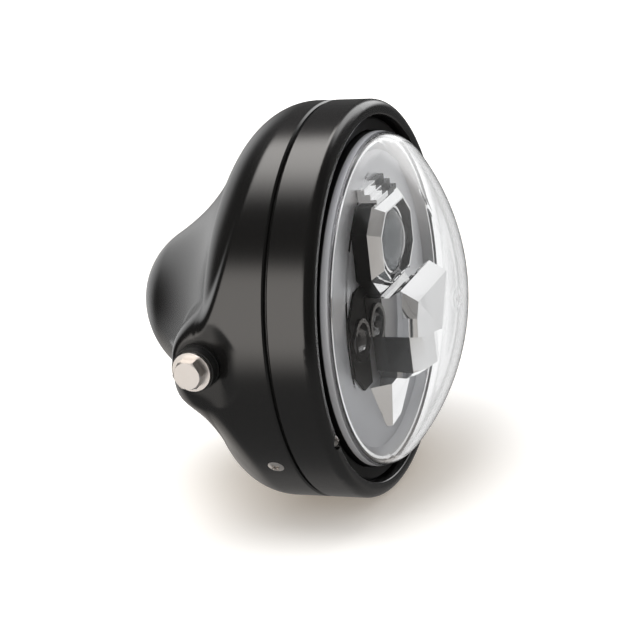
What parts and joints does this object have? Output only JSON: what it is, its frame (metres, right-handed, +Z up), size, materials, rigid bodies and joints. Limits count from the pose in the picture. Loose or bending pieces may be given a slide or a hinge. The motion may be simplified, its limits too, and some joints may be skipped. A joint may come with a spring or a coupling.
{
  "type": "motorcycle headlight",
  "caption": "Round side-mounted motorcycle headlight with a black bucket, trim ring and clear domed projector insert.",
  "frame": {"origin": "on the axis of the side bolts, midway between the two ears, where the lamp axis crosses it", "axes": "+X ahead along the beam, +Y to the lamp's left along the side bolts, +Z up"},
  "size_m": [0.1667, 0.2218, 0.2],
  "materials": {
    "black_paint": "satin",
    "zinc": "satin",
    "dark_steel": "matte",
    "cast_aluminium": "cast",
    "clear_dome": "clear",
    "lens_glass": "clear",
    "rubber": "matte",
    "silver_plate": "satin silver",
    "bright_chrome": "polished",
    "black_plastic": "matte",
    "circuit_board": "matte white",
    "emitter": "gloss",
    "brass": "plain"
  },
  "bodies": {
    "root": {"bucket_shell": "black_paint", "cable_grommet": "rubber", "side_bushes": "dark_steel", "side_collars": "black_plastic", "side_washers": "zinc", "side_bolts": "zinc", "trim_ring": "black_paint", "rim_lugs": "dark_steel", "rim_hook": "dark_steel", "rim_screws": "zinc", "rim_nuts": "zinc", "lip_screws": "zinc", "lip_nuts": "zinc", "carrier_ring": "dark_steel", "retaining_ring": "dark_steel", "lamp_housing": "cast_aluminium", "lens_cover": "clear_dome", "lens_seal": "rubber", "face_plate": "silver_plate", "module_frame": "black_plastic", "projector_bezel": "bright_chrome", "projector_barrel": "cast_aluminium", "glass_retainer": "bright_chrome", "projector_glass": "lens_glass", "emitter_board": "circuit_board", "emitter_chip": "emitter", "centre_beak": "bright_chrome", "lower_block": "bright_chrome", "chin": "bright_chrome", "top_ramp": "bright_chrome", "reflector_cups": "bright_chrome", "driver_cover": "cast_aluminium", "cover_screws": "zinc", "terminal_block": "black_plastic", "terminal_blades": "brass"}
  },
  "joints": []
}
